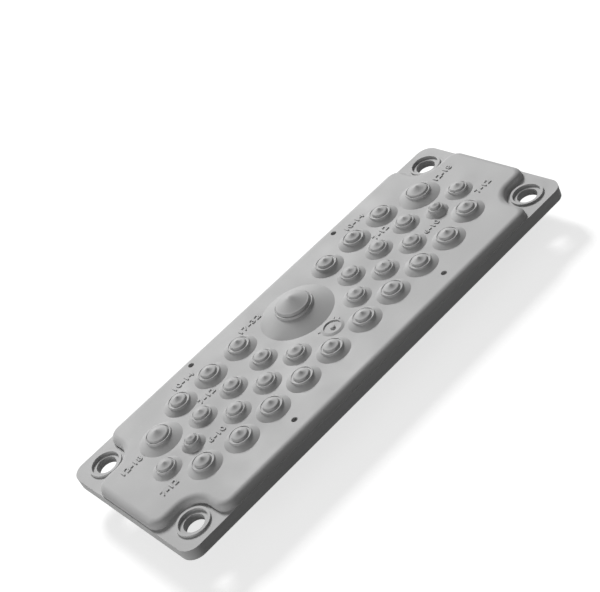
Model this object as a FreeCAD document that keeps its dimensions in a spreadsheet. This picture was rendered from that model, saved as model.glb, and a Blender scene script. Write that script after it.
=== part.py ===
"""Cable entry plate: a flange plate moulded in one piece, with stepped cone membranes above hollow collars.

Millimetres. The origin is on the recessed floor of the underside, at the centre of the four screw holes.
+X runs along the plate, +Y towards the side of the large entry, and +Z out of the membrane face.
"""

import FreeCAD, Part
import math
import os

import Sketcher
from FreeCAD import Placement, Rotation, Vector

NODE = "entry_plate"

# Driving dimensions: name, value and meaning. Heights are measured from the recessed floor.
PLATE_SIZES = (
    ("plate_length", 249.6, "outer length of the flange"),
    ("plate_width", 94.4, "outer width of the flange"),
    ("plate_corner", 7.0, "outer corner radius of the flange"),
    ("flange_top", 4.2, "height of the flange's top face"),
    ("plateau_height", 3.9, "plateau above the flange"),
    ("plateau_ledge", 0.4, "ledge left between plateau and flange edge"),
    ("plateau_edge", 3.4, "rounding of the plateau's upper edge"),
    ("plateau_corner", 7.0, "rounded corners where the plateau turns into a notch"),
    ("screw_spacing_x", 222.8, "screw holes, centre to centre along the plate"),
    ("screw_spacing_y", 70.0, "screw holes, centre to centre across the plate"),
    ("screw_hole", 5.0, "radius of a screw hole"),
    ("counterbore", 6.9, "radius of the seat for a washer"),
    ("counterbore_depth", 1.4, "depth of that seat below the collar's lip"),
    ("lip_width", 1.2, "width of the raised lip round a screw hole"),
    ("lip_height", 1.0, "lip above the flange"),
    ("notch_clearance", 1.8, "gap between lip and plateau"),
    ("rim_depth", 1.8, "sealing rim below the floor"),
    ("rim_width", 2.8, "rim between flange edge and the recess"),
    ("rim_draft", 33, "slope of the rim's inner wall, in degrees"),
    ("rim_corner", 4.4, "corner radius of the recess"),
    ("groove_inset", 0.7, "sealing groove from the flange edge"),
    ("groove_width", 1.5, "width of the sealing groove"),
    ("groove_depth", 1.1, "depth of the sealing groove"),
    ("base_height", 1.6, "raised base round the collars, below the floor"),
    ("base_draft", 54, "slope of the base's side, in degrees"),
    ("base_margin", 3.4, "base beyond the roots of the collars"),
    ("collar_length", 15.1, "collars below the floor"),
    ("collar_rounding", 0.9, "rounded end edge of a collar"),
    ("column_first", 30.2, "first column of entries from the middle"),
    ("column_pitch", 19.6, "pitch of the columns"),
)

# Entries, from the thinnest cables to the thickest. Cone heights are measured from the plateau.
ENTRY_KINDS = ("small", "light", "medium", "heavy", "main")
ENTRY_FIELDS = (
    ("bore", "radius of the bore, which grips the thinnest cable"),
    ("mouth", "chamfer at the mouth of the bore"),
    ("end", "outer radius at the collar's end"),
    ("root", "outer radius at the collar's root"),
    ("skirt", "radius at the foot of the cone"),
    ("skirt_rise", "height of the sloping skirt"),
    ("step", "radius of the lower step"),
    ("step_rise", "height of the lower step"),
    ("neck", "radius where the upper step starts"),
    ("cap", "radius of the cap's rim"),
    ("cap_rise", "height of the upper step"),
    ("tip_rise", "height of the pointed cap"),
)
ENTRY_SIZES = {
    "small": (2.7, 0.7, 5.2, 6.3, 5.9, 1.5, 3.9, 1.2, 2.7, 2.2, 1.1, 0.5),
    "light": (3.3, 0.3, 6.1, 7.4, 7.2, 1.2, 4.9, 0.8, 3.9, 3.3, 0.9, 0.8),
    "medium": (4.4, 0.3, 7.5, 9.0, 8.5, 1.5, 5.6, 0.8, 4.1, 3.5, 1.0, 0.9),
    "heavy": (5.6, 0.3, 9.7, 11.2, 10.8, 2.0, 6.4, 0.8, 5.4, 4.9, 1.0, 1.5),
    "main": (8.6, 0.4, 18.4, 20.2, 19.0, 4.2, 9.9, 0.8, 8.8, 8.1, 1.5, 3.9),
}

# Membranes and the wide chamber of the largest entry.
MEMBRANE_SIZES = (
    ("membrane_wall", 0.9, "wall of the stepped cones"),
    ("main_wall", 2.2, "wall of the largest entry's collar and skirt"),
    ("main_end_wall", 2.4, "end wall that holds the largest entry's bore"),
)

# Rows of entries: kind, columns along +X, first place, and place across the plate.
ROW_SIZES = (
    ("row_top", 24.8, "upper row of medium entries"),
    ("row_heavy", 16.0, "the two heavy entries"),
    ("heavy_out", 88.9, "heavy entries from the middle"),
    ("row_main", 15.1, "the largest entry"),
    ("row_light_upper", 7.0, "upper row of light entries"),
    ("row_ends", -2.2, "outermost light and small entries"),
    ("light_out", 98.9, "outermost light entries from the middle"),
    ("small_out", 82.7, "small entries from the middle"),
    ("row_light_lower", -7.2, "lower row of light entries"),
    ("row_medium_ends", -18.0, "outermost medium entries"),
    ("medium_out", 88.4, "outermost medium entries from the middle"),
    ("row_bottom", -22.6, "lower row of medium entries"),
)

# Blind pits left by the mould's pins: radius, depth and places, which all come in pairs.
PIT_SIZES = (
    ("top_pit", 1.5, "radius of the pits in the plateau"),
    ("top_pit_depth", 3.0, "their depth"),
    ("top_pit_x", 49.8, "their place along the plate"),
    ("top_pit_upper", 41.0, "upper pair across the plate"),
    ("top_pit_lower", -37.6, "lower pair across the plate"),
    ("floor_pit", 2.0, "radius of the pits in the floor"),
    ("floor_pit_depth", 2.6, "their depth"),
    ("floor_pit_corner_x", 97.4, "pits near the screw holes, along the plate"),
    ("floor_pit_corner_y", 30.7, "the same, across the plate"),
    ("floor_pit_end_x", 113.6, "pits at the ends"),
    ("floor_pit_side_x", 58.8, "pits beside the base, along the plate"),
    ("floor_pit_side_y", -38.6, "the same, across the plate"),
    ("slim_pit", 1.1, "radius of the slim pits above the largest entry"),
    ("slim_pit_x", 24.4, "slim pits along the plate"),
    ("slim_pit_y", 39.4, "the same, across the plate"),
)

OVERRUN = 1.0  # how far a cutting profile reaches past the face that it opens

doc = FreeCAD.newDocument("CableEntryPlate")


def build_sheet():
    """Fill the sheet of driving dimensions, with the entries' sizes under names such as medium_bore."""
    sheet = doc.addObject("Spreadsheet::Sheet", "Sizes")
    rows = list(PLATE_SIZES + MEMBRANE_SIZES + ROW_SIZES + PIT_SIZES)
    for kind in ENTRY_KINDS:
        for (field, meaning), value in zip(ENTRY_FIELDS, ENTRY_SIZES[kind]):
            rows.append((f"{kind}_{field}", value, f"{kind} entry: {meaning}"))
    for line, (name, value, meaning) in enumerate(rows, start=1):
        sheet.set(f"A{line}", meaning)
        sheet.set(f"B{line}", str(value))
        sheet.setAlias(f"B{line}", name)
    doc.recompute()
    return sheet, {name for name, _, _ in rows}


sheet, NAMES = build_sheet()


def bound(text):
    """Return an expression in which each name of a driving dimension points into the sheet."""
    words = text.replace("(", " ( ").replace(")", " ) ").split()
    return " ".join(f"Sizes.{word}" if word in NAMES else word for word in words)


def value(text):
    """Work out an expression from the sheet's present values."""
    return float(sheet.evalExpression(bound(text)))


body = doc.addObject("PartDesign::Body", "EntryPlate")
body.Label = NODE
body.Placement = Placement()


def origin_feature(role):
    """Find one of the body's own origin planes or axes."""
    return next(item for item in body.Origin.OriginFeatures if item.Role == role)


def new_sketch(name, plane, offset):
    """Attach a sketch to an origin plane, moved by three expressions in the plane's own axes."""
    sketch = body.newObject("Sketcher::SketchObject", name)
    sketch.AttachmentSupport = [(origin_feature(plane), "")]
    sketch.MapMode = "FlatFace"
    sketch.AttachmentOffset = Placement(Vector(*(value(text) for text in offset)), Rotation())
    for axis, text in zip("xyz", offset):
        if text != "0":
            sketch.setExpression(f"AttachmentOffset.Base.{axis}", bound(text))
    return sketch


def pin(sketch, geometry, point, across, up):
    """Tie a point of the sketch to two expressions, or to an axis where one of them is 0."""
    for kind, axis, text in (("DistanceX", -2, across), ("DistanceY", -1, up)):
        if text is None:
            continue
        if text == "0":
            sketch.addConstraint(Sketcher.Constraint("PointOnObject", geometry, point, axis))
        else:
            index = sketch.addConstraint(Sketcher.Constraint(kind, -1, 1, geometry, point, value(text)))
            sketch.setExpression(f"Constraints[{index}]", bound(text))


def draw_polygon(sketch, corners):
    """Draw a closed outline through corners given as pairs of expressions."""
    points = [Vector(value(across), value(up), 0) for across, up in corners]
    edges = [Part.LineSegment(a, b) for a, b in zip(points, points[1:] + points[:1])]
    sketch.addGeometry(edges, False)
    for index, (across, up) in enumerate(corners):
        sketch.addConstraint(Sketcher.Constraint("Coincident", index, 1, index - 1 if index else len(edges) - 1, 2))
        pin(sketch, index, 1, across, up)


def draw_circle(sketch, radius, across, up):
    """Draw a circle from three expressions."""
    centre = Vector(value(across), value(up), 0)
    index = sketch.addGeometry(Part.Circle(centre, Vector(0, 0, 1), value(radius)), False)
    constraint = sketch.addConstraint(Sketcher.Constraint("Radius", index, value(radius)))
    sketch.setExpression(f"Constraints[{constraint}]", bound(radius))
    pin(sketch, index, 3, across, up)


def draw_loop(sketch, arcs):
    """Draw a closed loop of arcs joined by straight lines.

    Each arc is a tuple of its centre's two expressions, its radius, and its first and last angle in degrees,
    which run clockwise where the last is less than the first. Every arc meets the lines beside it smoothly.
    """
    shapes = []
    for across, up, radius, first, last in arcs:
        circle = Part.Circle(Vector(value(across), value(up), 0), Vector(0, 0, 1), value(radius))
        low, high = sorted((math.radians(first), math.radians(last)))
        shapes.append(Part.ArcOfCircle(circle, low, high))

    def end_of(index, leaving):
        clockwise = arcs[index][4] < arcs[index][3]
        return 1 if leaving == clockwise else 2

    for index, arc in enumerate(arcs):
        sketch.addGeometry(shapes[index], False)
        constraint = sketch.addConstraint(Sketcher.Constraint("Radius", index, value(arc[2])))
        sketch.setExpression(f"Constraints[{constraint}]", bound(arc[2]))
        pin(sketch, index, 3, arc[0], arc[1])
    for index in range(len(arcs)):
        following = (index + 1) % len(arcs)
        ends = []
        for number, leaving in ((index, True), (following, False)):
            point = end_of(number, leaving)
            ends.append(shapes[number].StartPoint if point == 1 else shapes[number].EndPoint)
        if ends[0].distanceToPoint(ends[1]) < 1e-6:
            sketch.addConstraint(
                Sketcher.Constraint("Tangent", index, end_of(index, True), following, end_of(following, False)))
            continue
        line = sketch.addGeometry(Part.LineSegment(*ends), False)
        sketch.addConstraint(Sketcher.Constraint("Tangent", index, end_of(index, True), line, 1))
        sketch.addConstraint(Sketcher.Constraint("Tangent", line, 2, following, end_of(following, False)))


def rounded_rectangle(sketch, length, width, radius):
    """Draw a rectangle about the sketch's origin with rounded corners."""
    across = f"( {length} ) / 2 - ( {radius} )"
    up = f"( {width} ) / 2 - ( {radius} )"
    draw_loop(sketch, (
        (across, up, radius, 0, 90),
        (f"0 - ( {across} )", up, radius, 90, 180),
        (f"0 - ( {across} )", f"0 - ( {up} )", radius, 180, 270),
        (across, f"0 - ( {up} )", radius, 270, 360),
    ))


def feature(kind, name, **properties):
    """Add a feature to the body and set its properties; a text given as an expression is bound."""
    item = body.newObject(f"PartDesign::{kind}", name)
    for key, content in properties.items():
        if isinstance(content, str):
            setattr(item, key, value(content))
            item.setExpression(key, bound(content))
        else:
            setattr(item, key, content)
    return item


def settle(item, grows):
    """Recompute, and check that the feature added to or took from the body's volume."""
    before = settle.volume
    doc.recompute()
    settle.volume = item.Shape.Volume
    changed = settle.volume - before
    if (changed > 0) != grows or abs(changed) < 1e-3:
        raise RuntimeError(f"{item.Name} changed the volume by {changed:.2f}")


settle.volume = 0.0


def edges_at(height, inside=None):
    """Name the body's edges that lie flat at a height, all of them or those that a test accepts."""
    names = []
    for number, edge in enumerate(body.Tip.Shape.Edges, start=1):
        box = edge.BoundBox
        if abs(box.ZMin - height) < 1e-4 and abs(box.ZMax - height) < 1e-4:
            if inside is None or inside(box.Center):
                names.append(f"Edge{number}")
    return names


def notch_arcs():
    """Outline of the plateau: at each corner a convex turn, a hollow round the screw hole, a convex turn."""
    half_x = "plate_length / 2 - plateau_ledge"
    half_y = "plate_width / 2 - plateau_ledge"
    hole_x, hole_y = "screw_spacing_x / 2", "screw_spacing_y / 2"
    hollow = "counterbore + lip_width + notch_clearance"
    turn = "plateau_corner"
    end_x = f"{half_x} - {turn}"
    end_y = f"{hole_y} - ( {hollow} ) - {turn}"
    side_x = f"{hole_x} - ( {hollow} ) - {turn}"
    side_y = f"{half_y} - {turn}"
    quarter = ((end_x, end_y, turn, 0, 90), (hole_x, hole_y, hollow, 270, 180), (side_x, side_y, turn, 0, 90))
    arcs = []
    for mirror_x, mirror_y in ((1, 1), (-1, 1), (-1, -1), (1, -1)):
        turned = []
        for across, up, radius, first, last in quarter:
            if mirror_x < 0:
                across, first, last = f"0 - ( {across} )", 180 - first, 180 - last
            if mirror_y < 0:
                up, first, last = f"0 - ( {up} )", -first, -last
            turned.append((across, up, radius, first, last))
        if mirror_x * mirror_y < 0:
            turned = [(a, u, r, last, first) for a, u, r, first, last in reversed(turned)]
        for across, up, radius, first, last in turned:
            shift = 360 * math.floor(min(first, last) / 360)
            arcs.append((across, up, radius, first - shift, last - shift))
    return arcs


def build_flange():
    """The flat flange, from the tip of the sealing rim to its top face."""
    sketch = new_sketch("FlangeOutline", "XY_Plane", ("0", "0", "0 - rim_depth"))
    rounded_rectangle(sketch, "plate_length", "plate_width", "plate_corner")
    pad = feature("Pad", "Flange", Profile=sketch, Length="flange_top + rim_depth")
    settle(pad, grows=True)


def build_plateau():
    """The raised plateau, with a hollow round each screw hole and a rounded upper edge."""
    sketch = new_sketch("PlateauOutline", "XY_Plane", ("0", "0", "flange_top"))
    draw_loop(sketch, notch_arcs())
    pad = feature("Pad", "Plateau", Profile=sketch, Length="plateau_height")
    settle(pad, grows=True)
    top = value("flange_top + plateau_height")
    rounding = feature("Fillet", "PlateauEdge", Base=(pad, edges_at(top)), Radius="plateau_edge")
    settle(rounding, grows=False)


def build_rim():
    """The recess of the underside, which leaves a sealing rim with a sloped inner wall and a V groove."""
    sketch = new_sketch("RecessOutline", "XY_Plane", ("0", "0", "0 - rim_depth"))
    inset = "2 * rim_width"
    rounded_rectangle(sketch, f"plate_length - {inset}", f"plate_width - {inset}", "rim_corner")
    pocket = feature("Pocket", "Recess", Profile=sketch, Length="rim_depth", Reversed=True,
                     TaperAngle="0 - rim_draft")
    settle(pocket, grows=False)


def mirror_names(points):
    """Give each place, and its mirror image across the middle of the plate, as expressions."""
    both = []
    for across, up in points:
        both.append((across, up))
        both.append((f"0 - ( {across} )", up))
    return both


def screw_places():
    """The four screw holes."""
    hole_x, hole_y = "screw_spacing_x / 2", "screw_spacing_y / 2"
    return mirror_names(((hole_x, hole_y), (hole_x, f"0 - ( {hole_y} )")))


def build_screw_seats():
    """A raised lip, a washer seat and a through-hole in each corner."""
    steps = (
        ("Lip", "Pad", "counterbore + lip_width", "flange_top", "lip_height", True),
        ("WasherSeat", "Pocket", "counterbore", "flange_top + lip_height", "counterbore_depth", False),
        ("ScrewHole", "Pocket", "screw_hole", "flange_top + lip_height", "flange_top + lip_height + 1", False),
    )
    for name, kind, radius, height, length, grows in steps:
        sketch = new_sketch(f"{name}Circles", "XY_Plane", ("0", "0", height))
        for across, up in screw_places():
            draw_circle(sketch, radius, across, up)
        settle(feature(kind, name, Profile=sketch, Length=length), grows)


def build_base():
    """The low base that the collars stand on: straight runs between arcs about the outer collars."""
    reach = {kind: f"{kind}_root + base_margin" for kind in ENTRY_KINDS}
    column_last = "column_first + 2 * column_pitch"
    half = (
        (column_last, "row_bottom", reach["medium"]),
        ("medium_out", "row_medium_ends", reach["medium"]),
        ("light_out", "row_ends", reach["light"]),
        ("heavy_out", "row_heavy", reach["heavy"]),
        (column_last, "row_top", reach["medium"]),
    )
    ring = list(half) + [(f"0 - ( {across} )", up, radius) for across, up, radius in reversed(half)]
    circles = [(value(across), value(up), value(radius)) for across, up, radius in ring]
    turns = []
    for (x0, y0, r0), (x1, y1, r1) in zip(circles, circles[1:] + circles[:1]):
        heading = math.atan2(y1 - y0, x1 - x0)
        lean = math.asin((r0 - r1) / math.hypot(x1 - x0, y1 - y0))
        turns.append(math.degrees(heading - math.pi / 2 + lean))
    arcs = []
    for index, (across, up, radius) in enumerate(ring):
        first, last = turns[index - 1], turns[index]
        while last < first:
            last += 360
        arcs.append((across, up, radius, first, last))
    sketch = new_sketch("BaseOutline", "XY_Plane", ("0", "0", "0"))
    draw_loop(sketch, arcs)
    pad = feature("Pad", "CollarBase", Profile=sketch, Length="base_height", Reversed=True,
                  TaperAngle="0 - base_draft")
    settle(pad, grows=True)


def entry_groups():
    """Groups of like entries: name, kind, first place, and how many stand side by side on one half."""
    half_step = "column_first - column_pitch / 2"
    return (
        ("TopRow", "medium", "column_first", "row_top", 3),
        ("UpperLightRow", "light", "column_first", "row_light_upper", 3),
        ("LowerLightRow", "light", half_step, "row_light_lower", 3),
        ("BottomRow", "medium", "column_first - column_pitch", "row_bottom", 4),
        ("MediumEnds", "medium", "medium_out", "row_medium_ends", 1),
        ("LightEnds", "light", "light_out", "row_ends", 1),
        ("SmallPair", "small", "small_out", "row_ends", 1),
        ("HeavyPair", "heavy", "heavy_out", "row_heavy", 1),
        ("MainEntry", "main", "0", "row_main", 0),
    )


def cone_heights(kind):
    """Heights of the plateau, lower step, upper step, cap rim and tip, as expressions."""
    plateau = "flange_top + plateau_height"
    skirt = f"{plateau} + {kind}_skirt_rise"
    step = f"{skirt} + {kind}_step_rise"
    cap = f"{step} + {kind}_cap_rise"
    return plateau, skirt, step, cap, f"{cap} + {kind}_tip_rise"


def outer_profile(kind):
    """Half section of an entry's outside, from the tip of its cone to the end of its collar."""
    plateau, skirt, step, cap, tip = cone_heights(kind)
    end = "0 - collar_length"
    return (
        ("0", tip),
        (f"{kind}_cap", cap),
        (f"{kind}_neck", step),
        (f"{kind}_step - 0.2", step),
        (f"{kind}_step", skirt),
        (f"{kind}_skirt", plateau),
        (f"{kind}_skirt", "flange_top"),
        (f"{kind}_root", "0 - base_height"),
        (f"{kind}_end", f"{end} + collar_rounding"),
        (f"{kind}_end - 0.3 * collar_rounding", f"{end} + 0.3 * collar_rounding"),
        (f"{kind}_end - collar_rounding", end),
        ("0", end),
    )


def hollow_profile(kind):
    """Half section of the hollow: a bore with a chamfered mouth, stepped in under the cone."""
    plateau, skirt, step, cap, tip = cone_heights(kind)
    end = "0 - collar_length"
    low, high = f"{skirt} - membrane_wall / 2", f"{cap} - membrane_wall"
    inner = f"{kind}_cap - membrane_wall"
    mouth = (
        ("0", f"{end} - {OVERRUN}"),
        (f"{kind}_bore + {kind}_mouth", f"{end} - {OVERRUN}"),
        (f"{kind}_bore + {kind}_mouth", end),
        (f"{kind}_bore", f"{end} + {kind}_mouth"),
    )
    if kind != "main":
        return mouth + ((f"{kind}_bore", low), (inner, low), (inner, high), ("0", high))
    chamber = f"{kind}_end - main_wall"
    return mouth + (
        (f"{kind}_bore", f"{end} + main_end_wall"),
        (chamber, f"{end} + main_end_wall"),
        (chamber, f"{plateau} - main_wall"),
        (f"{kind}_step - membrane_wall", f"{skirt} - main_wall"),
        (f"{kind}_step - membrane_wall", f"{step} - membrane_wall"),
        (inner, f"{step} - membrane_wall"),
        (inner, high),
        ("0", f"{tip} - 2 * membrane_wall"),
    )


def turned(name, kind, profile, across, up, copies, cut):
    """Turn a half section about an entry's axis, then repeat it along the row and on the other half."""
    sketch = new_sketch(f"{name}Section", "XZ_Plane", (across, "0", f"0 - ( {up} )"))
    draw_polygon(sketch, profile)
    item = feature("Groove" if cut else "Revolution", name, Profile=sketch)
    item.ReferenceAxis = (sketch, ["V_Axis"])
    item.Angle = 360
    settle(item, grows=not cut)
    if copies == 0:
        return
    repeat = body.newObject("PartDesign::MultiTransform", f"{name}Set")
    repeat.Originals = [item]
    steps = []
    if copies > 1:
        row = doc.addObject("PartDesign::LinearPattern", f"{name}Row")
        row.Direction = (origin_feature("X_Axis"), [""])
        row.Occurrences = copies
        row.Length = value("column_pitch") * (copies - 1)
        row.setExpression("Length", bound(f"column_pitch * {copies - 1}"))
        steps.append(row)
    mirror = doc.addObject("PartDesign::Mirrored", f"{name}Mirror")
    mirror.MirrorPlane = (origin_feature("YZ_Plane"), [""])
    steps.append(mirror)
    repeat.Transformations = steps
    body.Tip = repeat
    settle(repeat, grows=not cut)


def build_entries():
    """All collars and cones first, then all hollows, so that no collar fills its neighbour's bore."""
    for name, kind, across, up, copies in entry_groups():
        turned(name, kind, outer_profile(kind), across, up, copies, cut=False)
    for name, kind, across, up, copies in entry_groups():
        turned(f"{name}Hollow", kind, hollow_profile(kind), across, up, copies, cut=True)


def build_pits():
    """Blind pits in the plateau and in the floor."""
    pits = (
        ("TopPits", "flange_top + plateau_height", "top_pit", "top_pit_depth", False,
         (("top_pit_x", "top_pit_upper"), ("top_pit_x", "top_pit_lower"))),
        ("FloorPits", "0", "floor_pit", "floor_pit_depth", True,
         (("floor_pit_corner_x", "floor_pit_corner_y"), ("floor_pit_corner_x", "0 - floor_pit_corner_y"),
          ("floor_pit_end_x", "0"), ("floor_pit_side_x", "floor_pit_side_y"))),
        ("SlimPits", "0", "slim_pit", "floor_pit_depth", True, (("slim_pit_x", "slim_pit_y"),)),
    )
    for name, height, radius, depth, upward, places in pits:
        sketch = new_sketch(f"{name}Circles", "XY_Plane", ("0", "0", height))
        for across, up in mirror_names(places):
            draw_circle(sketch, radius, across, up)
        settle(feature("Pocket", name, Profile=sketch, Length=depth, Reversed=upward), grows=False)


def check_document():
    """Stop if any object failed, or if the plate isn't one valid solid."""
    for item in doc.Objects:
        if any(word in item.State for word in ("Invalid", "Error")):
            raise RuntimeError(f"{item.Name} failed: {item.State}")
    shape = body.Shape
    if shape.isNull() or not shape.isValid() or len(shape.Solids) != 1:
        raise RuntimeError("the plate isn't one valid solid")


build_flange()
build_plateau()
build_rim()
build_screw_seats()
build_base()
build_entries()
build_pits()
doc.recompute()
check_document()

os.makedirs("parts", exist_ok=True)
body.Shape.exportStep(f"parts/{NODE}.step")
print(f"{NODE}: volume {body.Shape.Volume:.1f} mm3, box {body.Shape.BoundBox}")
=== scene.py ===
"""Studio picture of a moulded cable entry plate: finish, cones, numbers, dial, floor, lights and camera."""

import logging
import math
from dataclasses import dataclass, field
from enum import Enum

import bpy
from mathutils import Matrix, Vector


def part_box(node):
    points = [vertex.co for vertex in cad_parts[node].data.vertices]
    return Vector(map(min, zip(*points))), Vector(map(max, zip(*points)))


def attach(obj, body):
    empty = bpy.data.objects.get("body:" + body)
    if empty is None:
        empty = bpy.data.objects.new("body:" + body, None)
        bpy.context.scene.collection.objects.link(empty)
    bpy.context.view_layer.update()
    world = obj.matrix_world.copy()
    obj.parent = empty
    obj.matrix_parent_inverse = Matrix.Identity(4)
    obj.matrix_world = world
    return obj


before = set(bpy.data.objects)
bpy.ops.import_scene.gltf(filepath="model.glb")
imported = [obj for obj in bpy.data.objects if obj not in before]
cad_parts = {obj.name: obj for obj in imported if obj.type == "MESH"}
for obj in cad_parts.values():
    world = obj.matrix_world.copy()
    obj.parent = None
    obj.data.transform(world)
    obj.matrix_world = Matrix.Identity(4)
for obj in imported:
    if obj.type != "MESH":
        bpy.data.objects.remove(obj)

MM = 0.001
WHITE = (1.0, 1.0, 1.0, 1.0)
Outline = tuple[tuple[float, float], ...]
BODY = "root"
PLATE = "entry_plate"
LOG = logging.getLogger("cable_entry_plate")


class CableRange(Enum):
    """The ranges of cable diameters in millimetres, as they are moulded beside the entries."""

    SMALL = "6-10"
    LIGHT = "7-12"
    MEDIUM = "10-14"
    HEAVY = "12-18"
    MAIN = "17-32"


@dataclass(frozen=True)
class ElastomerFinish:
    """Grey moulded elastomer: a dull skin with faint clouding, specks of dust and a fine eroded grain."""

    name: str = "grey_elastomer_skin"
    shade: float = 0.44
    cloud_contrast: float = 0.035
    speck_contrast: float = 0.05
    roughness: float = 0.62
    roughness_spread: float = 0.10
    specular: float = 0.32
    cloud_scale: float = 38.0
    cloud_range: tuple[float, float] = (0.3, 0.7)
    gloss_range: tuple[float, float] = (0.25, 0.75)
    flow_scale: float = 9.0
    speck_scale: float = 900.0
    speck_range: tuple[float, float] = (0.62, 0.78)
    grain_scale: float = 2600.0
    grain_height: float = 0.012 * MM
    ripple_scale: float = 55.0
    ripple_height: float = 0.06 * MM

    def build(self) -> bpy.types.Material:
        """Make the node material.

        Returns:
            The finished material.
        """
        material = bpy.data.materials.new(self.name)
        material.use_nodes = True
        tree = material.node_tree
        shader = tree.nodes["Principled BSDF"]
        shader.inputs["Specular IOR Level"].default_value = self.specular
        place = tree.nodes.new("ShaderNodeTexCoord").outputs["Object"]
        clouds = self._noise(tree, place, self.cloud_scale, 4.0)
        flow = self._noise(tree, place, self.flow_scale, 2.0)
        specks = self._noise(tree, place, self.speck_scale, 2.0)
        darkest, lightest = 1.0 - self.cloud_contrast, 1.0 + self.cloud_contrast
        tone = self._remap(tree, clouds, self.cloud_range, (self.shade * darkest, self.shade * lightest))
        drift = self._remap(tree, flow, self.cloud_range, (darkest, lightest))
        dust = self._remap(tree, specks, self.speck_range, (1.0, 1.0 + self.speck_contrast))
        tone = self._multiply(tree, self._multiply(tree, tone, drift), dust)
        colour = tree.nodes.new("ShaderNodeCombineColor")
        for channel in ("Red", "Green", "Blue"):
            tree.links.new(tone, colour.inputs[channel])
        tree.links.new(colour.outputs["Color"], shader.inputs["Base Color"])
        gloss = self._remap(
            tree, clouds, self.gloss_range,
            (self.roughness - self.roughness_spread, self.roughness + self.roughness_spread))
        tree.links.new(gloss, shader.inputs["Roughness"])
        grain = self._noise(tree, place, self.grain_scale, 3.0)
        fine = self._bump(tree, grain, self.grain_height, None)
        ripple = self._noise(tree, place, self.ripple_scale, 1.0)
        surface = self._bump(tree, ripple, self.ripple_height, fine)
        tree.links.new(surface, shader.inputs["Normal"])
        return material

    @staticmethod
    def _noise(
        tree: bpy.types.NodeTree, place: bpy.types.NodeSocket, scale: float, detail: float
    ) -> bpy.types.NodeSocket:
        """Add a noise texture that reads the object's own coordinates.

        Args:
            tree: The material's nodes.
            place: The coordinates.
            scale: Cells in a metre.
            detail: Octaves.

        Returns:
            The noise value.
        """
        noise = tree.nodes.new("ShaderNodeTexNoise")
        noise.inputs["Scale"].default_value = scale
        noise.inputs["Detail"].default_value = detail
        tree.links.new(place, noise.inputs["Vector"])
        return noise.outputs["Fac"]

    @staticmethod
    def _remap(
        tree: bpy.types.NodeTree, source: bpy.types.NodeSocket,
        old: tuple[float, float], new: tuple[float, float]
    ) -> bpy.types.NodeSocket:
        """Stretch a value from one range to another, and clip it there.

        Args:
            tree: The material's nodes.
            source: The value.
            old: The start and the end of its range.
            new: The start and the end of the new range.

        Returns:
            The stretched value.
        """
        node = tree.nodes.new("ShaderNodeMapRange")
        for name, number in zip(("From Min", "From Max", "To Min", "To Max"), (*old, *new)):
            node.inputs[name].default_value = number
        tree.links.new(source, node.inputs["Value"])
        return node.outputs["Result"]

    @staticmethod
    def _multiply(
        tree: bpy.types.NodeTree, first: bpy.types.NodeSocket, second: bpy.types.NodeSocket
    ) -> bpy.types.NodeSocket:
        """Multiply two values.

        Args:
            tree: The material's nodes.
            first: One value.
            second: The other value.

        Returns:
            The product.
        """
        node = tree.nodes.new("ShaderNodeMath")
        node.operation = "MULTIPLY"
        tree.links.new(first, node.inputs[0])
        tree.links.new(second, node.inputs[1])
        return node.outputs[0]

    @staticmethod
    def _bump(
        tree: bpy.types.NodeTree, height: bpy.types.NodeSocket, distance: float,
        below: bpy.types.NodeSocket | None
    ) -> bpy.types.NodeSocket:
        """Turn a height into a normal, on top of another normal if one is given.

        Args:
            tree: The material's nodes.
            height: The height value, from 0 to 1.
            distance: The height in metres that 1 stands for.
            below: The normal that this one is added to.

        Returns:
            The new normal.
        """
        node = tree.nodes.new("ShaderNodeBump")
        node.inputs["Distance"].default_value = distance
        tree.links.new(height, node.inputs["Height"])
        if below is not None:
            tree.links.new(below, node.inputs["Normal"])
        return node.outputs["Normal"]


@dataclass(frozen=True)
class StageFinish:
    """A pale matt surface that shows as white to the camera, and still takes the object's shadow."""

    name: str = "pale_floor"
    shade: float = 0.12
    seen_shade: float = 0.45
    glow: float = 0.72

    def build(self) -> bpy.types.Material:
        """Make the node material.

        Returns:
            The finished material.
        """
        material = bpy.data.materials.new(self.name)
        material.use_nodes = True
        tree = material.node_tree
        tree.nodes.clear()
        glow = tree.nodes.new("ShaderNodeEmission")
        glow.inputs["Strength"].default_value = self.glow
        bright = tree.nodes.new("ShaderNodeAddShader")
        tree.links.new(self._matt(tree, self.seen_shade), bright.inputs[0])
        tree.links.new(glow.outputs[0], bright.inputs[1])
        output = tree.nodes.new("ShaderNodeOutputMaterial")
        surface = by_sight(tree, self._matt(tree, self.shade), bright.outputs[0])
        tree.links.new(surface, output.inputs["Surface"])
        return material

    @staticmethod
    def _matt(tree: bpy.types.NodeTree, shade: float) -> bpy.types.NodeSocket:
        """Add a matt surface.

        Args:
            tree: The material's nodes.
            shade: Its grey.

        Returns:
            The shader's output.
        """
        matt = tree.nodes.new("ShaderNodeBsdfDiffuse")
        matt.inputs["Color"].default_value = (shade, shade, shade, 1.0)
        return matt.outputs[0]


def seen_by_eye(tree: bpy.types.NodeTree) -> bpy.types.NodeSocket:
    """Find out whether a ray comes from the camera, from gloss or through something clear.

    Args:
        tree: The nodes of a material or of the world.

    Returns:
        A value of 1 for such a ray and 0 for other rays.
    """
    path = tree.nodes.new("ShaderNodeLightPath")
    seen = path.outputs["Is Camera Ray"]
    for name in ("Is Glossy Ray", "Is Transmission Ray"):
        either = tree.nodes.new("ShaderNodeMath")
        either.operation = "MAXIMUM"
        tree.links.new(seen, either.inputs[0])
        tree.links.new(path.outputs[name], either.inputs[1])
        seen = either.outputs[0]
    return seen


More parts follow.
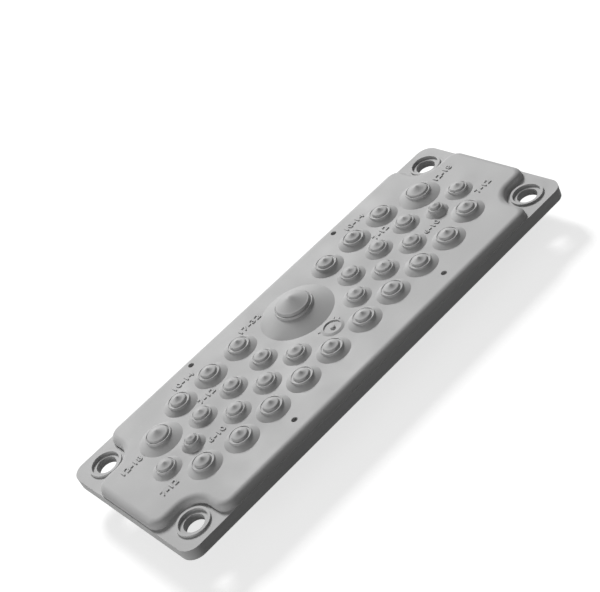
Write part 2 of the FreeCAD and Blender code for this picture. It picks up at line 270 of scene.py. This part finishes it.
def by_sight(
    tree: bpy.types.NodeTree, unseen: bpy.types.NodeSocket, seen: bpy.types.NodeSocket
) -> bpy.types.NodeSocket:
    """Give rays that are seen by eye one shader and all other rays another.

    Args:
        tree: The nodes of a material or of the world.
        unseen: The shader for the light that falls on the object.
        seen: The shader for what the eye sees.

    Returns:
        The mixed shader's output.
    """
    mix = tree.nodes.new("ShaderNodeMixShader")
    tree.links.new(seen_by_eye(tree), mix.inputs["Fac"])
    tree.links.new(unseen, mix.inputs[1])
    tree.links.new(seen, mix.inputs[2])
    return mix.outputs[0]


def select_only(piece: bpy.types.Object) -> None:
    """Deselect everything else and make one object active.

    Args:
        piece: The object to work on.
    """
    bpy.ops.object.select_all(action="DESELECT")
    piece.select_set(True)
    bpy.context.view_layer.objects.active = piece


def settle(piece: bpy.types.Object) -> None:
    """Put an object's place, turn and scale into its mesh.

    Args:
        piece: The object to settle.
    """
    select_only(piece)
    bpy.ops.object.transform_apply(location=True, rotation=True, scale=True)


@dataclass(frozen=True)
class RangeNumbers:
    """Raised range numbers beside the entries: thin strokes with a rounded top, read along the plate."""

    plateau: float
    material: bpy.types.Material
    digit_height: float = 3.5 * MM
    digit_share: float = 0.69
    relief: float = 0.45 * MM
    sink: float = 0.3 * MM
    rounding: float = 0.08 * MM
    stroke_gain: float = 0.05 * MM
    spacing: float = 1.12
    curve_steps: int = 4
    rounding_steps: int = 1
    places: tuple[tuple[CableRange, float, float, float], ...] = (
        (CableRange.MEDIUM, -59.0, 35.9, 12.2), (CableRange.MEDIUM, 60.2, 35.9, 12.2),
        (CableRange.MAIN, -16.7, 33.3, 13.3),
        (CableRange.HEAVY, -106.7, 16.3, 11.7), (CableRange.HEAVY, 106.7, 16.3, 11.7),
        (CableRange.LIGHT, -59.8, 15.9, 9.4), (CableRange.LIGHT, 59.5, 15.6, 9.4),
        (CableRange.SMALL, -73.4, -8.6, 9.7), (CableRange.SMALL, 72.7, -7.8, 9.7),
        (CableRange.LIGHT, -105.7, -12.5, 9.4), (CableRange.LIGHT, 105.7, -12.5, 9.4),
    )

    def build(self) -> list[bpy.types.Object]:
        """Make each number.

        Returns:
            The finished pieces.
        """
        return [
            self._number(f"range_number_{index:02d}", cables.value, across * MM, up * MM, width * MM)
            for index, (cables, across, up, width) in enumerate(self.places, start=1)]

    def _number(self, name: str, words: str, across: float, up: float, width: float) -> bpy.types.Object:
        """Make one raised number and seat it on the plateau.

        Args:
            name: The piece's name.
            words: The range to show.
            across: Its centre along the plate.
            up: Its centre across the plate.
            width: Its whole width.

        Returns:
            The finished piece.
        """
        bpy.ops.object.select_all(action="DESELECT")
        bpy.ops.object.text_add(location=(0.0, 0.0, 0.0))
        piece = bpy.context.object
        piece.name = name
        piece.data.body = words
        piece.data.size = self.digit_height / self.digit_share
        piece.data.space_character = self.spacing
        piece.data.extrude = (self.relief + self.sink) / 2.0
        piece.data.offset = self.stroke_gain
        piece.data.bevel_depth = self.rounding
        piece.data.bevel_resolution = self.rounding_steps
        piece.data.resolution_u = self.curve_steps
        bpy.ops.object.convert(target="MESH")
        piece = bpy.context.object
        corners = [vertex.co for vertex in piece.data.vertices]
        low = Vector([min(corner[axis] for corner in corners) for axis in range(3)])
        high = Vector([max(corner[axis] for corner in corners) for axis in range(3)])
        whole = high - low
        piece.data.transform(Matrix.Translation(-(low + high) / 2.0))
        piece.data.transform(Matrix.Diagonal((width / whole.x, self.digit_height / whole.y, 1.0, 1.0)))
        piece.location = (across, up, self.plateau + self.relief - whole.z / 2.0)
        settle(piece)
        piece.data.name = name
        dress(piece, self.material)
        return piece


def turned(name: str, outline: Outline, sides: int, crease: float = 28.0) -> bpy.types.Object:
    """Turn an outline about the Z axis: a disc is extruded and resized from each point to the next.

    Args:
        name: The piece's name.
        outline: Radius and height in millimetres, from the hidden end on the axis to the visible one.
        sides: Faces in each ring.
        crease: The angle in degrees from which an edge stays sharp.

    Returns:
        The closed piece, upright at the origin.
    """
    radius, height = outline[0]
    bpy.ops.object.select_all(action="DESELECT")
    bpy.ops.mesh.primitive_circle_add(
        vertices=sides, radius=radius * MM, fill_type="NGON", location=(0.0, 0.0, height * MM))
    piece = bpy.context.object
    piece.name = name
    piece.data.name = name
    settle(piece)
    bpy.ops.object.mode_set(mode="EDIT")
    bpy.ops.mesh.select_all(action="SELECT")
    for next_radius, next_height in outline[1:]:
        bpy.ops.mesh.extrude_region_move(
            TRANSFORM_OT_translate={"value": (0.0, 0.0, (next_height - height) * MM)})
        ratio = next_radius / radius
        bpy.ops.transform.resize(value=(ratio, ratio, 1.0), center_override=(0.0, 0.0, next_height * MM))
        radius, height = next_radius, next_height
    bpy.ops.mesh.select_all(action="SELECT")
    bpy.ops.mesh.normals_make_consistent(inside=False)
    bpy.ops.object.mode_set(mode="OBJECT")
    bpy.ops.object.shade_smooth_by_angle(angle=math.radians(crease))
    return piece


@dataclass(frozen=True)
class MembraneCones:
    """The stepped cones: skirt, wall, narrow rim, groove and pointed cap, as skins over the plate's cones."""

    plateau: float
    material: bpy.types.Material
    sides: int = 56
    skins: dict[CableRange, Outline] = field(default_factory=lambda: {
        CableRange.SMALL: (
            (0.1, 3.8), (1.9, 3.55), (2.4, 2.45), (3.65, 1.4), (5.8, -0.25), (5.95, -0.25), (5.95, 0.03),
            (4.0, 1.75), (3.8, 2.72), (3.72, 2.9), (3.6, 2.95), (3.28, 2.95), (3.2, 2.75), (2.93, 2.75),
            (2.86, 2.8), (2.4, 3.88), (2.24, 3.98), (1.8, 4.05), (1.2, 4.24), (0.6, 4.58), (0.3, 4.7),
            (0.1, 4.72)),
        CableRange.LIGHT: (
            (0.1, 3.2), (3.0, 2.65), (3.6, 1.75), (4.65, 1.1), (7.1, -0.25), (7.25, -0.25), (7.25, 0.03),
            (5.05, 1.4), (4.87, 2.0), (4.8, 2.22), (4.7, 2.27), (4.4, 2.27), (4.3, 2.05), (4.1, 2.05),
            (4.03, 2.1), (3.55, 2.98), (3.38, 3.08), (2.9, 3.14), (2.2, 3.31), (1.5, 3.6), (0.9, 3.96),
            (0.45, 4.22), (0.22, 4.31), (0.1, 4.33)),
        CableRange.MEDIUM: (
            (0.1, 3.7), (3.2, 3.05), (3.8, 2.05), (5.35, 1.4), (8.4, -0.25), (8.55, -0.25), (8.55, 0.03),
            (5.77, 1.75), (5.52, 2.32), (5.46, 2.57), (5.36, 2.63), (5.05, 2.63), (4.95, 2.35), (4.3, 2.35),
            (4.23, 2.4), (3.75, 3.4), (3.55, 3.51), (3.0, 3.58), (2.3, 3.79), (1.6, 4.11), (0.95, 4.54),
            (0.5, 4.88), (0.25, 4.99), (0.1, 5.01)),
        CableRange.HEAVY: (
            (0.1, 4.8), (4.6, 3.55), (5.1, 2.55), (6.15, 1.9), (10.7, -0.25), (10.85, -0.25), (10.85, 0.03),
            (6.6, 2.35), (6.35, 3.05), (6.3, 3.2), (6.2, 3.26), (5.88, 3.26), (5.78, 2.86), (5.6, 2.86),
            (5.53, 2.9), (5.07, 3.84), (4.87, 3.96), (4.4, 4.05), (3.4, 4.38), (2.2, 4.95), (1.2, 5.5),
            (0.6, 5.82), (0.3, 5.93), (0.1, 5.96)),
        CableRange.MAIN: (
            (0.1, 9.9), (7.8, 6.25), (8.5, 4.75), (9.65, 4.1), (9.98, 4.0), (9.97, 4.3), (9.77, 5.05),
            (9.72, 5.2), (9.62, 5.28), (9.28, 5.28), (9.18, 5.04), (9.03, 5.04), (8.95, 5.1), (8.4, 6.5),
            (8.2, 6.62), (7.65, 6.7), (0.1, 10.2)),
    })
    rows: tuple[tuple[CableRange, tuple[float, ...], float], ...] = (
        (CableRange.MEDIUM, (30.2, 49.8, 69.4), 24.8), (CableRange.LIGHT, (30.2, 49.8, 69.4), 7.0),
        (CableRange.LIGHT, (20.4, 40.0, 59.6), -7.2), (CableRange.MEDIUM, (10.6, 30.2, 49.8, 69.4), -22.6),
        (CableRange.MEDIUM, (88.4,), -18.0), (CableRange.LIGHT, (98.9,), -2.2),
        (CableRange.SMALL, (82.7,), -2.2), (CableRange.HEAVY, (88.9,), 16.0),
        (CableRange.MAIN, (0.0,), 15.1),
    )

    def build(self) -> list[bpy.types.Object]:
        """Turn each kind of cone once and set a copy over each entry.

        Returns:
            The finished pieces.
        """
        pieces = []
        patterns = {cables: turned(f"cone_{cables.name.lower()}", skin, self.sides)
                    for cables, skin in self.skins.items()}
        for cables, columns, up in self.rows:
            for across in sorted({side * column for column in columns for side in (-1.0, 1.0)}):
                pieces.append(self._cone(patterns[cables], len(pieces) + 1, across * MM, up * MM))
        for pattern in patterns.values():
            bpy.data.objects.remove(pattern)
        return pieces

    def _cone(self, pattern: bpy.types.Object, number: int, across: float, up: float) -> bpy.types.Object:
        """Copy one cone to its entry.

        Args:
            pattern: The cone to copy.
            number: The entry's number.
            across: Its centre along the plate.
            up: Its centre across the plate.

        Returns:
            The finished cone.
        """
        piece = pattern.copy()
        piece.data = pattern.data.copy()
        bpy.context.scene.collection.objects.link(piece)
        piece.name = f"{pattern.name}_{number:02d}"
        piece.data.name = piece.name
        piece.location = (across, up, self.plateau)
        settle(piece)
        dress(piece, self.material)
        return piece


@dataclass(frozen=True)
class DateDial:
    """The plain dial in the plateau's middle: a shallow dish with a pip, and three short ticks round it."""

    plateau: float
    material: bpy.types.Material
    centre: tuple[float, float] = (0.0, -10.9 * MM)
    sides: int = 72
    dish: Outline = (
        (0.1, -0.3), (5.9, -0.3), (5.9, 0.0), (4.7, 0.6), (4.52, 0.66), (4.4, 0.62), (4.33, 0.06),
        (1.32, 0.06), (1.27, 0.8), (1.12, 0.95), (0.8, 1.0), (0.1, 1.02))
    sink: float = 0.3 * MM
    rounding: float = 0.12 * MM
    tick_length: float = 1.3 * MM
    tick_width: float = 0.5 * MM
    tick_relief: float = 0.35 * MM
    ticks: tuple[tuple[float, float], ...] = ((6.3 * MM, 40.0), (5.9 * MM, 14.0), (6.7 * MM, 146.0))

    def build(self) -> list[bpy.types.Object]:
        """Make the dish and the ticks.

        Returns:
            The finished pieces.
        """
        dish = turned("dial_dish", self.dish, self.sides)
        dish.location = (self.centre[0], self.centre[1], self.plateau)
        settle(dish)
        dress(dish, self.material)
        pieces = [dish]
        for index, (reach, turn) in enumerate(self.ticks, start=1):
            pieces.append(self._tick(f"dial_tick_{index:02d}", reach, math.radians(turn)))
        return pieces

    def _tick(self, name: str, reach: float, turn: float) -> bpy.types.Object:
        """Make one short raised tick that points at the dial's centre.

        Args:
            name: The piece's name.
            reach: Its distance from the dial's centre.
            turn: Its direction from the dial's centre, counted from +X.

        Returns:
            The finished tick.
        """
        bpy.ops.object.select_all(action="DESELECT")
        bpy.ops.mesh.primitive_plane_add(size=1.0, location=(0.0, 0.0, 0.0))
        piece = bpy.context.object
        piece.name = name
        piece.scale = (self.tick_length, self.tick_width, 1.0)
        settle(piece)
        bpy.ops.object.mode_set(mode="EDIT")
        bpy.ops.mesh.select_all(action="SELECT")
        bpy.ops.mesh.extrude_region_move(
            TRANSFORM_OT_translate={"value": (0.0, 0.0, self.sink + self.tick_relief)})
        bpy.ops.mesh.select_all(action="SELECT")
        bpy.ops.mesh.normals_make_consistent(inside=False)
        bpy.ops.object.mode_set(mode="OBJECT")
        piece.rotation_euler = (0.0, 0.0, turn)
        piece.location = (
            self.centre[0] + reach * math.cos(turn), self.centre[1] + reach * math.sin(turn),
            self.plateau - self.sink)
        finish_edges(piece, self.rounding)
        dress(piece, self.material)
        return piece


def finish_edges(piece: bpy.types.Object, rounding: float, steps: int = 2, crease: float = 40.0) -> None:
    """Round a piece's edges, shade it smoothly and settle it.

    Args:
        piece: The piece to finish.
        rounding: The radius of its edges.
        steps: Faces across each rounded edge.
        crease: The angle in degrees from which an edge stays sharp.
    """
    select_only(piece)
    bevel = piece.modifiers.new("rounded_edges", "BEVEL")
    bevel.width = rounding
    bevel.segments = steps
    bevel.limit_method = "ANGLE"
    bpy.ops.object.modifier_apply(modifier=bevel.name)
    settle(piece)
    bpy.ops.object.shade_smooth_by_angle(angle=math.radians(crease))


def dress(piece: bpy.types.Object, material: bpy.types.Material) -> None:
    """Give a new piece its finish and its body.

    Args:
        piece: The piece.
        material: Its finish.
    """
    piece.data.materials.clear()
    piece.data.materials.append(material)
    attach(piece, BODY)
    LOG.info("%s: %d faces", piece.name, len(piece.data.polygons))


@dataclass(frozen=True)
class Lamp:
    """A square area lamp that faces the plate: its name, its place and side in metres, its power in watts."""

    name: str
    place: tuple[float, float, float]
    side: float
    power: float

    def build(self) -> None:
        """Hang the lamp."""
        light = bpy.data.lights.new(self.name, "AREA")
        light.size = self.side
        light.energy = self.power
        holder = bpy.data.objects.new(self.name, light)
        holder.location = self.place
        holder.rotation_euler = (-Vector(self.place)).to_track_quat("-Z", "Y").to_euler()
        bpy.context.scene.collection.objects.link(holder)


@dataclass(frozen=True)
class Studio:
    """A pale floor, a soft key lamp over the far long side, a weaker one beyond the near end, a camera."""

    floor_height: float
    image_width: int = 600
    sensor: float = 36.0
    focal_pixels: float = 1429.4
    camera_place: tuple[float, float, float] = (-229.8 * MM, -479.43 * MM, 402.8 * MM)
    camera_azimuth: float = 25.411
    camera_descent: float = 35.379
    camera_roll: float = 27.819
    nearest_seen: float = 10.0 * MM
    floor_size: float = 30.0
    ambient: float = 0.125
    lamps: tuple[Lamp, ...] = (
        Lamp("key_lamp", (0.95, 2.37, 2.02), 0.8, 114.0),
        Lamp("near_end_lamp", (-1.9, -0.15, 0.33), 0.7, 15.0),
    )

    def build(self) -> None:
        """Add the floor, the world, the lamps and the camera."""
        self._floor()
        self._world()
        for lamp in self.lamps:
            lamp.build()
        self._camera()

    def _floor(self) -> None:
        """Lay a large pale floor under the plate."""
        bpy.ops.object.select_all(action="DESELECT")
        bpy.ops.mesh.primitive_plane_add(size=self.floor_size, location=(0.0, 0.0, self.floor_height))
        floor = bpy.context.object
        floor.name = "floor"
        settle(floor)
        floor.data.materials.append(StageFinish().build())

    def _world(self) -> None:
        """Light the whole scene softly, and show white to the camera, in gloss and through openings."""
        world = bpy.data.worlds.new("pale_surround")
        bpy.context.scene.world = world
        world.use_nodes = True
        tree = world.node_tree
        tree.nodes.clear()
        soft = tree.nodes.new("ShaderNodeBackground")
        soft.inputs["Strength"].default_value = self.ambient
        white = tree.nodes.new("ShaderNodeBackground")
        white.inputs["Strength"].default_value = 1.0
        for node in (soft, white):
            node.inputs["Color"].default_value = WHITE
        output = tree.nodes.new("ShaderNodeOutputWorld")
        tree.links.new(by_sight(tree, soft.outputs[0], white.outputs[0]), output.inputs["Surface"])

    def _camera(self) -> None:
        """Place the camera from its azimuth from +Y, its descent below the horizon and its roll."""
        azimuth = math.radians(self.camera_azimuth)
        descent = math.radians(self.camera_descent)
        forward = Vector((
            math.sin(azimuth) * math.cos(descent), math.cos(azimuth) * math.cos(descent), -math.sin(descent)))
        upright = forward.to_track_quat("-Z", "Y").to_matrix()
        data = bpy.data.cameras.new("studio_camera")
        data.sensor_fit = "HORIZONTAL"
        data.sensor_width = self.sensor
        data.lens = self.focal_pixels * self.sensor / self.image_width
        data.clip_start = self.nearest_seen
        holder = bpy.data.objects.new("studio_camera", data)
        roll = Matrix.Rotation(-math.radians(self.camera_roll), 3, "Z")
        holder.matrix_world = Matrix.Translation(self.camera_place) @ (upright @ roll).to_4x4()
        bpy.context.scene.collection.objects.link(holder)
        bpy.context.scene.camera = holder


def plateau_height(plate: bpy.types.Object, upright: float = 0.999, decimals: int = 5) -> float:
    """Find the plateau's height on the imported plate, as the height with most of the upward area.

    Args:
        plate: The plate.
        upright: How far up a face has to look to count, up to 1.
        decimals: The places to which heights are rounded, so that those of one flat face are the same.

    Returns:
        The height in metres.
    """
    areas: dict[float, float] = {}
    for polygon in plate.data.polygons:
        if polygon.normal.z > upright:
            height = round(polygon.center.z, decimals)
            areas[height] = areas.get(height, 0.0) + polygon.area
    return max(areas, key=areas.get)


def main() -> None:
    """Dress the plate, add its raised marks and build the studio round it."""
    logging.basicConfig(level=logging.INFO, format="%(name)s %(message)s")
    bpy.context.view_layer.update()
    bpy.context.scene.view_settings.view_transform = "Standard"
    skin = ElastomerFinish().build()
    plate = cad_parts[PLATE]
    plate.data.materials.clear()
    plate.data.materials.append(skin)
    plateau = plateau_height(plate)
    LOG.info("%s: plateau at %.2f mm", PLATE, plateau / MM)
    MembraneCones(plateau, skin).build()
    RangeNumbers(plateau, skin).build()
    DateDial(plateau, skin).build()
    Studio(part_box(PLATE)[0].z).build()


if __name__ == "__main__":
    main()
